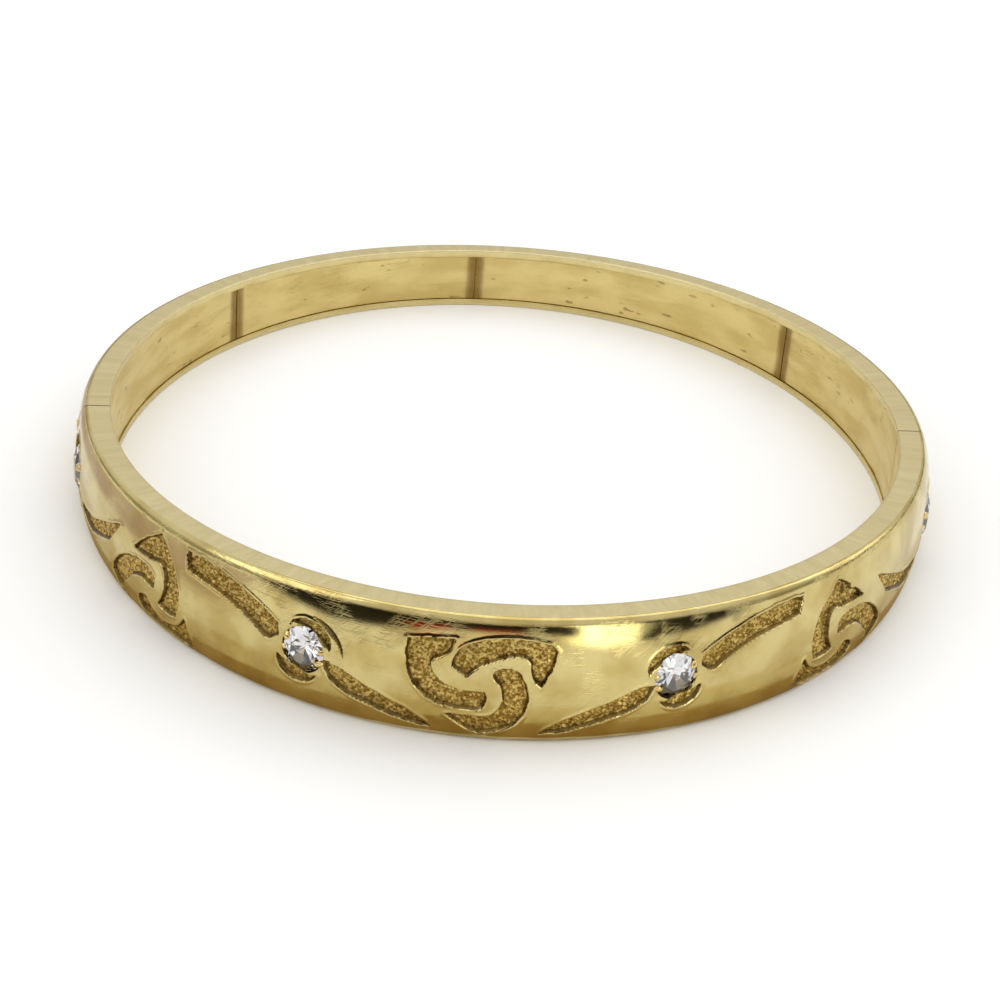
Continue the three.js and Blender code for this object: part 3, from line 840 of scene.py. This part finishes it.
def vector_node(tree, x, y, z=0.0):
    node = tree.nodes.new("ShaderNodeCombineXYZ")
    for slot, value in zip(node.inputs, (x, y, z)):
        feed(tree, slot, value)
    return node.outputs[0]


def mix_colour(tree, share, a, b):
    node = tree.nodes.new("ShaderNodeMix")
    node.data_type = "RGBA"
    for label, value in (("Factor", share), ("A", a), ("B", b)):
        feed(tree, [s for s in node.inputs if s.name == label and s.enabled][0], value)
    return [s for s in node.outputs if s.enabled][0]


def colour(red, green, blue):
    """A colour given as it looks, from 11 to 255, turned into the linear values that shaders use."""
    return tuple(((c / 255 + 0.055) / 1.055) ** 2.4 for c in (red, green, blue)) + (1.0,)


# %% [markdown]
# Scratches are noise that is squeezed hard across one direction, so its blobs become long thin lines. A
# second set runs at a slant, because a bangle rubs against a table and against other jewellery.

# %% Shared effects: scratches
scratches, given, result = group_of("fine_scratches", {"Slant": 0.3, "Spacing": 4.0}, ["Lines"])
leaning = math_node(scratches, "MULTIPLY", given["Along"], given["Slant"])
slanted = math_node(scratches, "ADD", given["Across"], leaning)
squeezed = math_node(scratches, "MULTIPLY", slanted, given["Spacing"])
stretched = math_node(scratches, "MULTIPLY", given["Along"], 0.22)
fine = noise_node(scratches, vector_node(scratches, stretched, squeezed), 1.0, 2.0, 0.6)
sharp = math_node(scratches, "ABSOLUTE", math_node(scratches, "SUBTRACT", fine, 0.5))
thin = ramp_node(scratches, sharp, 0.0, 0.035, 1.0, 0.0)
where = noise_node(scratches, vector_node(scratches, given["Along"], given["Across"]), 0.35, 2.0)
patchy = ramp_node(scratches, where, 0.42, 0.68)
scratches.links.new(math_node(scratches, "MULTIPLY", thin, patchy), result["Lines"])

# %% Shared effects: blotches and grain
blotches, given, result = group_of("tarnish_blotches", {"Size": 0.4}, ["Cloud", "Spots"])
spread = vector_node(blotches, given["Along"], given["Across"], 3.7)
cloud = noise_node(blotches, spread, given["Size"], 4.0)
blotches.links.new(ramp_node(blotches, cloud, 0.35, 0.68), result["Cloud"])
dots = noise_node(blotches, spread, 1.7, 2.0)
blotches.links.new(ramp_node(blotches, dots, 0.66, 0.74), result["Spots"])

satin, given, result = group_of("satin_grain", {"Pull": 0.15}, ["Grain", "Stipple_and_glint"])
pulled = math_node(satin, "MULTIPLY", given["Along"], given["Pull"])
grain_place = vector_node(satin, pulled, given["Across"])
satin.links.new(noise_node(satin, grain_place, 9.0, 4.0, 0.7), result["Grain"])
# The stipple of the recess floors: bumps, and pale specks painted into the colour as glints.
stipple_place = vector_node(satin, given["Along"], given["Across"], 1.3)
stipple = noise_node(satin, stipple_place, 5.0, 3.0, 0.6)
satin.links.new(ramp_node(satin, stipple, 0.4, 0.62), result["Stipple_and_glint"])


# %% [markdown]
# The gold itself is one recipe with different values. Polished gold is a near mirror with hairlines, the
# rims are satin from wear, and the floors of the recesses are rough and painted darker and richer in colour
# as shade in the hollows, with pale painted glints on their stipple. The steep walls of the recesses are
# painted dark brown as shade.

# %% The gold recipe
def measure(tree, name):
    node = tree.nodes.new("ShaderNodeAttribute")
    node.attribute_type = "GEOMETRY"
    node.attribute_name = name
    return node.outputs["Fac"]


def use(tree, group, **values):
    node = tree.nodes.new("ShaderNodeGroup")
    node.node_tree = group
    for label, value in values.items():
        feed(tree, node.inputs[label], value)
    return node.outputs


def bump(tree, height, strength, distance_mm, onto=None):
    node = tree.nodes.new("ShaderNodeBump")
    node.inputs["Strength"].default_value = strength
    node.inputs["Distance"].default_value = distance_mm * MM
    tree.links.new(height, node.inputs["Height"])
    if onto is not None:
        tree.links.new(onto, node.inputs["Normal"])
    return node.outputs["Normal"]


def new_finish(name, metallic=0.0):
    material = bpy.data.materials.new(name)
    material.use_nodes = True
    tree = material.node_tree
    shader = next(n for n in tree.nodes if n.type == "BSDF_PRINCIPLED")
    shader.inputs["Metallic"].default_value = metallic
    return material, tree, shader


RUBBED_PATCH = (-21.3, -1.7)     # a patch of feathery scratches below a leaf, along and across


def wall_gold():
    """The outer walls: mirror dome, satin rims and stippled recesses with painted shade and glints, told
    apart by stored measures.
    """
    material, tree, shader = new_finish("polished_gold_wall", 1.0)
    along, across, cut, rim = (measure(tree, m) for m in ("along", "across", "cut", "rim"))
    place = {"Along": along, "Across": across}
    lengthwise = use(tree, scratches, **place, Slant=0.06, Spacing=5.0)["Lines"]
    crossing = use(tree, scratches, **place, Slant=-0.9, Spacing=2.6)["Lines"]
    tarnish = use(tree, blotches, **place, Size=0.32)
    grain_out = use(tree, satin, **place, Pull=0.12)
    feathered = use(tree, scratches, **place, Slant=1.3, Spacing=4.5)["Lines"]
    beside = math_node(tree, "ABSOLUTE", math_node(tree, "SUBTRACT", along, RUBBED_PATCH[0]))
    above = math_node(tree, "ABSOLUTE", math_node(tree, "SUBTRACT", across, RUBBED_PATCH[1]))
    off_patch = math_node(tree, "MAXIMUM", math_node(tree, "MULTIPLY", beside, 0.3), above)
    rubbed = math_node(tree, "MULTIPLY", feathered, ramp_node(tree, off_patch, 0.7, 1.2, 1.0, 0.0))
    lines = math_node(tree, "MAXIMUM", math_node(tree, "MAXIMUM", lengthwise, crossing), rubbed)
    polish = mix_colour(tree, tarnish["Cloud"], colour(211, 194, 133), colour(190, 168, 104))
    brushed = mix_colour(tree, grain_out["Grain"], colour(200, 182, 126), colour(240, 226, 178))
    rimmed = mix_colour(tree, rim, polish, brushed)
    # Recess floors: painted darker and browner as shade in the hollows, and pale on the stipple dots as
    # painted glints.
    floor = mix_colour(tree, grain_out["Stipple_and_glint"], colour(142, 108, 40), colour(232, 204, 124))
    coloured = mix_colour(tree, cut, rimmed, floor)
    # The steep walls of the recesses are painted dark brown: painted shade in the creases.
    wall_share = math_node(tree, "MULTIPLY", cut, math_node(tree, "SUBTRACT", 1.0, cut))
    recess_wall_shade = ramp_node(tree, wall_share, 0.01, 0.16, 0.0, 0.85)
    tree.links.new(mix_colour(tree, recess_wall_shade, coloured, colour(84, 60, 18)), shader.inputs["Base Color"])
    smooth_part = math_node(tree, "MULTIPLY_ADD", lines, 0.07, 0.1)
    rough_rim = ramp_node(tree, rim, 0.0, 1.0, smooth_part, 0.36)
    rough = ramp_node(tree, cut, 0.0, 1.0, rough_rim, 0.46)
    tree.links.new(rough, shader.inputs["Roughness"])
    worn = use(tree, satin, **place, Pull=0.7)["Grain"]
    scratch_bump = bump(tree, lines, 0.3, 0.02, bump(tree, worn, 0.25, 0.016))
    rim_grain = math_node(tree, "MULTIPLY", grain_out["Grain"], rim)
    rim_bump = bump(tree, rim_grain, 0.5, 0.05, scratch_bump)
    floor_bump = bump(tree, math_node(tree, "MULTIPLY", grain_out["Stipple_and_glint"], cut), 0.8, 0.05, rim_bump)
    tree.links.new(floor_bump, shader.inputs["Normal"])
    return material


def lining_finish():
    """The wrist side: rolled strip, dull and blotchy, with dark flux left at the soldered joints."""
    material, tree, shader = new_finish("lining_gold", 1.0)
    along, across, joint = (measure(tree, m) for m in ("along", "across", "joint"))
    place = {"Along": along, "Across": across}
    lines = use(tree, scratches, **place, Slant=0.12, Spacing=3.0)["Lines"]
    brushed = math_node(tree, "MULTIPLY", along, 0.35)
    tarnish = use(tree, blotches, Along=brushed, Across=across, Size=0.5)
    grain_out = use(tree, satin, **place, Pull=0.2)
    base = mix_colour(tree, tarnish["Cloud"], colour(220, 200, 136), colour(206, 184, 118))
    spots = math_node(tree, "MULTIPLY", tarnish["Spots"], 0.6)
    spotted = mix_colour(tree, spots, base, colour(120, 92, 44))
    seam = math_node(tree, "MULTIPLY", joint, 0.85)
    tree.links.new(mix_colour(tree, seam, spotted, colour(128, 98, 42)), shader.inputs["Base Color"])
    rough = ramp_node(tree, tarnish["Cloud"], 0.0, 1.0, 0.3, 0.46)
    tree.links.new(rough, shader.inputs["Roughness"])
    height = math_node(tree, "ADD", math_node(tree, "MULTIPLY", lines, 0.6), grain_out["Grain"])
    tree.links.new(bump(tree, height, 0.5, 0.06), shader.inputs["Normal"])
    return material


def plain_metal(name, light, dark, roughness, spacing):
    """Small parts inside: their own colour, with wear, blotches and turning lines. No measures are stored
    on them, so the object's coordinates in millimetres stand in."""
    material, tree, shader = new_finish(name, 1.0)
    where = tree.nodes.new("ShaderNodeTexCoord")
    scaled = tree.nodes.new("ShaderNodeVectorMath")
    scaled.operation = "SCALE"
    tree.links.new(where.outputs["Object"], scaled.inputs[0])
    scaled.inputs["Scale"].default_value = 1 / MM
    parts = tree.nodes.new("ShaderNodeSeparateXYZ")
    tree.links.new(scaled.outputs[0], parts.inputs[0])
    along = math_node(tree, "ADD", parts.outputs["X"], parts.outputs["Y"])
    place = {"Along": along, "Across": parts.outputs["Z"]}
    lines = use(tree, scratches, **place, Slant=0.1, Spacing=spacing)["Lines"]
    tarnish = use(tree, blotches, **place, Size=0.9)
    tree.links.new(mix_colour(tree, tarnish["Cloud"], light, dark), shader.inputs["Base Color"])
    rough = ramp_node(tree, lines, 0.0, 1.0, roughness, roughness + 0.15)
    tree.links.new(rough, shader.inputs["Roughness"])
    tree.links.new(bump(tree, lines, 0.3, 0.03), shader.inputs["Normal"])
    return material


def stone_finish():
    """A clear colourless stone: high index, with a trace of dust on its facets."""
    material, tree, shader = new_finish("clear_stone")
    where = tree.nodes.new("ShaderNodeTexCoord")
    dust = noise_node(tree, where.outputs["Object"], 1400.0, 3.0, 0.6)
    tree.links.new(ramp_node(tree, dust, 0.55, 0.8, 0.0, 0.06), shader.inputs["Roughness"])
    clear = mix_colour(tree, dust, colour(255, 255, 255), colour(247, 245, 255))
    tree.links.new(clear, shader.inputs["Base Color"])
    shader.inputs["Transmission Weight"].default_value = 1.0
    shader.inputs["IOR"].default_value = 2.2
    return material


# %% Give every piece its finish
wall_material = wall_gold()
lining_material = lining_finish()
stone_material = stone_finish()
bead_material = plain_metal("bead_gold", colour(234, 208, 146), colour(214, 186, 118), 0.14, 4.0)
hidden_material = plain_metal("hidden_gold", colour(190, 162, 96), colour(150, 120, 64), 0.4, 3.0)
spring_material = plain_metal("spring_gold", colour(216, 186, 116), colour(190, 158, 92), 0.26, 6.0)
pin_material = plain_metal("pin_steel", colour(196, 190, 176), colour(164, 158, 146), 0.25, 8.0)


def clothe(made, material):
    made.data.materials.clear()
    made.data.materials.append(material)


for wall in (front_wall, back_wall):
    clothe(wall, wall_material)
for strip in lining:
    clothe(strip, lining_material)
for stone in stones:
    clothe(stone, stone_material)
for made in bpy.data.objects:
    if made.name.startswith("setting_grains"):
        clothe(made, bead_material)
FINISH_OF_NODE = {"hinge_pin": pin_material, "clasp_tongue": spring_material,
                  "clasp_spring_leaf": spring_material, "clasp_push_piece": bead_material,
                  "front_knuckle_lower": bead_material, "front_knuckle_upper": bead_material,
                  "back_knuckle": bead_material}
for node, made in frame["nodes"].items():
    if made.type == "MESH" and node not in ("front_shell", "back_shell"):
        for place in made.material_slots:
            place.material = FINISH_OF_NODE.get(node, hidden_material)
print("finishes:", len(bpy.data.materials))

# %% [markdown]
# ## The studio
# A polished ring shows mostly what stands round it. The pale floor fills the lower part of the dome, a dark
# card low in front gives the black band under the rim, and soft lamps above light the rest.


# %% Floor and cards
def sheet(name, edge, other_edge):
    """A strip of quads between two edges with as many points each."""
    mesh = bpy.data.meshes.new(name)
    points = [point for pair in zip(edge, other_edge) for point in pair]
    quads = [(2 * k, 2 * k + 2, 2 * k + 3, 2 * k + 1) for k in range(len(edge) - 1)]
    mesh.from_pydata(points, [], quads)
    return piece(name, mesh)


FLOOR_REACH = 1.2
floor = sheet("floor", [(-FLOOR_REACH, FLOOR_REACH, 0), (-FLOOR_REACH, -FLOOR_REACH, 0)],
              [(FLOOR_REACH, FLOOR_REACH, 0), (FLOOR_REACH, -FLOOR_REACH, 0)])
floor.location.z = -0.00002
floor_material, floor_tree, floor_shader = new_finish("pale_floor")
floor_where = floor_tree.nodes.new("ShaderNodeTexCoord")
floor_noise = noise_node(floor_tree, floor_where.outputs["Object"], 30.0)
floor_paint = mix_colour(floor_tree, floor_noise, colour(246, 246, 245), colour(250, 250, 250))
floor_tree.links.new(floor_paint, floor_shader.inputs["Base Color"])
floor_shader.inputs["Roughness"].default_value = 0.75
clothe(floor, floor_material)
floor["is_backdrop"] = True


def card(name, edge, other_edge, paint, glow=0.0):
    """A reflector that only reflections see, as a card does that stands out of the picture."""
    made = sheet(name, edge, other_edge)
    material, tree, shader = new_finish(name)
    shader.inputs["Base Color"].default_value = paint
    shader.inputs["Roughness"].default_value = 0.9
    if glow:
        shader.inputs["Emission Color"].default_value = paint
        shader.inputs["Emission Strength"].default_value = glow
    clothe(made, material)
    made.visible_camera = False
    made.visible_diffuse = False
    made.visible_shadow = False
    made.visible_transmission = False
    made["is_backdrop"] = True


def bent(reach, turns, heights):
    """The edge of a card that stands round the bangle, with its height in mm given at a few turns."""
    along = np.linspace(turns[0], turns[-1], 33)
    rise = np.interp(along, turns, heights)
    return [(reach * math.sin(t), -reach * math.cos(t), h * MM) for t, h in zip(np.radians(along), rise)]


SCREEN_REACH = 0.050
RED_REACH = 0.0495
BLACK = colour(28, 24, 18)
GREY = colour(40, 36, 28)
WHITE = colour(250, 255, 248)
RED = colour(170, 34, 14)
left_turns = (-47, -42, -32, -20, -10, 4, 9.7)
card("dark_screen_left", bent(SCREEN_REACH, left_turns, (7.5, 3.5, 0.8, 2.4, 4.9, 4.9, 3.6)),
     bent(SCREEN_REACH, left_turns, (8.4, 12.5, 14, 14, 13.5, 13.5, 13)), BLACK)
white_turns = (7, 9, 15, 19, 22)
card("white_screen", bent(SCREEN_REACH, white_turns, (4.5, 1.5, 0.4, 0.6, 4.5)),
     bent(SCREEN_REACH, white_turns, (13.5, 14, 14, 13.5, 11.5)), WHITE, 2.2)
right_turns = (20, 24, 32, 40)
card("dark_screen_right", bent(SCREEN_REACH, right_turns, (0.6, 0.9, 2.2, 4.8)),
     bent(SCREEN_REACH, right_turns, (13.5, 14, 13.5, 9)), GREY)
for side, turns, low, high in (("left", (-19, -11), (3.2, 4.5), (5.7, 6.2)),
                               ("middle", (-8, 1), (5.0, 5.0), (6.2, 6.0))):
    card("red_screen_" + side, bent(RED_REACH, turns, low), bent(RED_REACH, turns, high), RED, 0.15)

# %% [markdown]
# Tinted mats lie on the floor round the ring. One warms the reflections at the left, and two narrow ones
# darken the foot of the dome: they are painted shade, a contact shadow round the ring seen in its
# reflection.

# %% Mats on the floor
MAT_RISE = 0.3           # mm above the floor
# The second and third sheets are painted shade: a contact shadow round the ring, darkest nearest it.
MATS = (("warm_mat", 0.0405, 0.09, (-150, -50), colour(196, 184, 190)),
        ("foot_mat", 0.0315, 0.0331, (-100, 100), colour(186, 160, 112)),
        ("near_mat", 0.0331, 0.0352, (-100, 100), colour(230, 221, 196)))
for name, inner, outer, turns, paint in MATS:
    rise = (MAT_RISE, MAT_RISE)
    card(name, bent(inner, turns, rise), bent(outer, turns, rise), paint)


# %% Lamps and sky
def lamp(name, place, aim, size, power, tint=(1, 1, 1)):
    data = bpy.data.lights.new(name, "AREA")
    data.shape = "RECTANGLE"
    data.size, data.size_y = size
    data.energy = power
    data.color = tint
    made = bpy.data.objects.new(name, data)
    bpy.context.scene.collection.objects.link(made)
    made.location = place
    made.rotation_mode = "QUATERNION"
    made.rotation_quaternion = (Vector(aim) - Vector(place)).to_track_quat("-Z", "Y")


lamp("overhead", (0.05, 0.05, 0.6), (0, 0, 0), (0.7, 0.7), 1.2)
lamp("left_soft", (-0.5, -0.25, 0.35), (0, 0, 0), (0.4, 0.4), 0.6, (1, 0.98, 0.95))
lamp("right_soft", (0.5, 0.1, 0.3), (0, 0, 0), (0.3, 0.4), 0.4)
world = bpy.data.worlds.new("studio")
bpy.context.scene.world = world
world.use_nodes = True
sky_tree = world.node_tree
sky = sky_tree.nodes["Background"]
sky_where = sky_tree.nodes.new("ShaderNodeTexCoord")
sky_parts = sky_tree.nodes.new("ShaderNodeSeparateXYZ")
sky_tree.links.new(sky_where.outputs["Generated"], sky_parts.inputs[0])
sky_share = ramp_node(sky_tree, sky_parts.outputs["Z"], 0.02, 0.45)
sky_tree.links.new(mix_colour(sky_tree, sky_share, (0.42, 0.4, 0.36, 1), (1, 1, 1, 1)), sky.inputs["Color"])
sky.inputs["Strength"].default_value = 0.85

# %% Print the visual box
low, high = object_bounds()
print("visual box in mm:", [round(c / MM, 2) for c in (*low, *high)])
